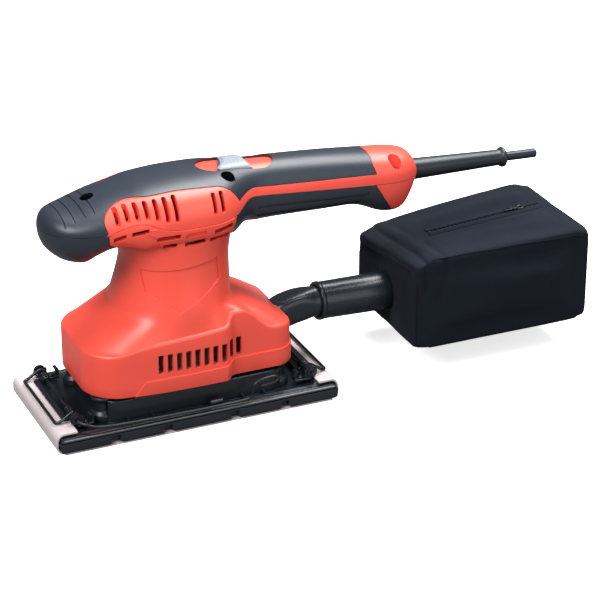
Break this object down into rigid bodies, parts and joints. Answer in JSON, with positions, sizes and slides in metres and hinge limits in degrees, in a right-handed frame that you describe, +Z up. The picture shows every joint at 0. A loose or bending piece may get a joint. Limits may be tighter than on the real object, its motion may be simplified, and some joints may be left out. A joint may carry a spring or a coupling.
{
  "type": "finishing sander",
  "caption": "Rectangular-pad orbital finishing sander with palm knob, rear bar handle, wire paper clamps, side vents and a black cloth dust bag on a short pipe.",
  "frame": {"origin": "centre of the sanding face, on the underside of the abrasive paper", "axes": "+Z up away from the work, +X to the rear where the cord and the dust bag are, -Y is the side with the front clamp lever"},
  "size_m": [0.365, 0.093, 0.1549],
  "materials": {
    "red_shell": "satin moulded plastic",
    "soft_grip": "matt overmoulded elastomer",
    "black_plastic": "matt black plastic",
    "black_metal": "black painted casting",
    "black_wire": "black coated spring wire",
    "black_rubber": "matt rubber",
    "paper": "abrasive paper, pale backing",
    "cloth": "black woven cloth",
    "pale_plastic": "light grey plastic",
    "fan_plastic": "off-white plastic",
    "blue_film": "film capacitor case",
    "steel": "zinc plated or ground steel",
    "core_steel": "stacked core steel",
    "copper": "enamelled copper wire and bars",
    "brass": "pressed brass",
    "carbon": "carbon block",
    "aluminium": "die-cast aluminium"
  },
  "bodies": {
    "housing": {"motor_housing": "red_shell", "top_cover": "red_shell", "upper_grip": "soft_grip", "knob_grip": "soft_grip", "lower_grip": "soft_grip", "bearing_box": "aluminium", "cover_screw_1": "steel", "cover_screw_2": "steel", "cover_screw_3": "steel", "cover_screw_4": "steel", "cover_screw_5": "steel", "switch_body": "black_plastic", "capacitor": "blue_film", "cord": "black_rubber", "cord_guard": "black_rubber", "strain_relief": "black_plastic", "dust_nozzle": "black_plastic", "field_core": "core_steel", "field_coil_left": "copper", "field_coil_right": "copper", "brush_holder_left": "brass", "brush_holder_right": "brass", "carbon_brush_left": "carbon", "carbon_brush_right": "carbon", "brush_spring_left": "steel", "brush_spring_right": "steel", "lower_bearing_outer": "steel", "upper_bearing_outer": "steel"},
    "rotor": {"armature_shaft": "steel", "armature_core": "core_steel", "armature_winding_lower": "copper", "armature_winding_upper": "copper", "commutator": "copper", "cooling_fan": "fan_plastic", "dust_fan": "fan_plastic", "counterweight": "steel", "lower_bearing_inner": "steel", "upper_bearing_inner": "steel", "orbit_bearing_inner": "steel"},
    "base": {"base_plate": "black_metal", "orbit_bearing_outer": "steel", "pad_foam": "black_rubber", "abrasive_paper": "paper", "rubber_foot_front_left": "black_rubber", "rubber_foot_front_right": "black_rubber", "rubber_foot_rear_left": "black_rubber", "rubber_foot_rear_right": "black_rubber", "front_clamp_bracket": "black_metal", "rear_clamp_bracket": "black_metal"},
    "front_lever": {"front_lever": "black_wire"},
    "front_bail": {"front_bail": "black_wire"},
    "rear_lever": {"rear_lever": "black_wire"},
    "rear_bail": {"rear_bail": "black_wire"},
    "switch_slider": {"switch_slider": "pale_plastic"},
    "bag": {"bag_sleeve": "black_plastic", "dust_bag": "cloth"},
    "zip_pull": {"zip_pull": "steel"}
  },
  "joints": [
    {"name": "rotor_spin", "type": "hinge", "parent": "housing", "child": "rotor", "pos_m": [-0.001, 0, 0.02], "axis": [0, 0, 1], "continuous": true},
    {"name": "base_orbit", "type": "hinge", "parent": "rotor", "child": "base", "pos_m": [0, 0, 0.02], "axis": [0, 0, 1], "continuous": true},
    {"name": "front_lever_swing", "type": "hinge", "parent": "base", "child": "front_lever", "pos_m": [-0.078, 0, 0.0176], "axis": [0, -1, 0], "range_deg": [0, 100]},
    {"name": "front_bail_lift", "type": "hinge", "parent": "base", "child": "front_bail", "pos_m": [-0.078, 0, 0.0176], "axis": [0, 1, 0], "range_deg": [0, 35]},
    {"name": "rear_lever_swing", "type": "hinge", "parent": "base", "child": "rear_lever", "pos_m": [0.078, 0, 0.0176], "axis": [0, 1, 0], "range_deg": [0, 100]},
    {"name": "rear_bail_lift", "type": "hinge", "parent": "base", "child": "rear_bail", "pos_m": [0.078, 0, 0.0176], "axis": [0, -1, 0], "range_deg": [0, 35]},
    {"name": "switch_slide", "type": "slide", "parent": "housing", "child": "switch_slider", "axis": [-1, 0, 0], "range_m": [0, 0.006]},
    {"name": "bag_pull_off", "type": "slide", "parent": "housing", "child": "bag", "axis": [0.9995, 0, -0.0322], "range_m": [0, 0.04]},
    {"name": "zip_slide", "type": "slide", "parent": "bag", "child": "zip_pull", "axis": [-0.9975, 0, -0.0708], "range_m": [0, 0.06]}
  ],
  "couplings": [
    {"joint": "base_orbit", "follows": "rotor_spin", "ratio": -1},
    {"joint": "front_bail_lift", "follows": "front_lever_swing", "ratio": 0.35},
    {"joint": "rear_bail_lift", "follows": "rear_lever_swing", "ratio": 0.35}
  ]
}
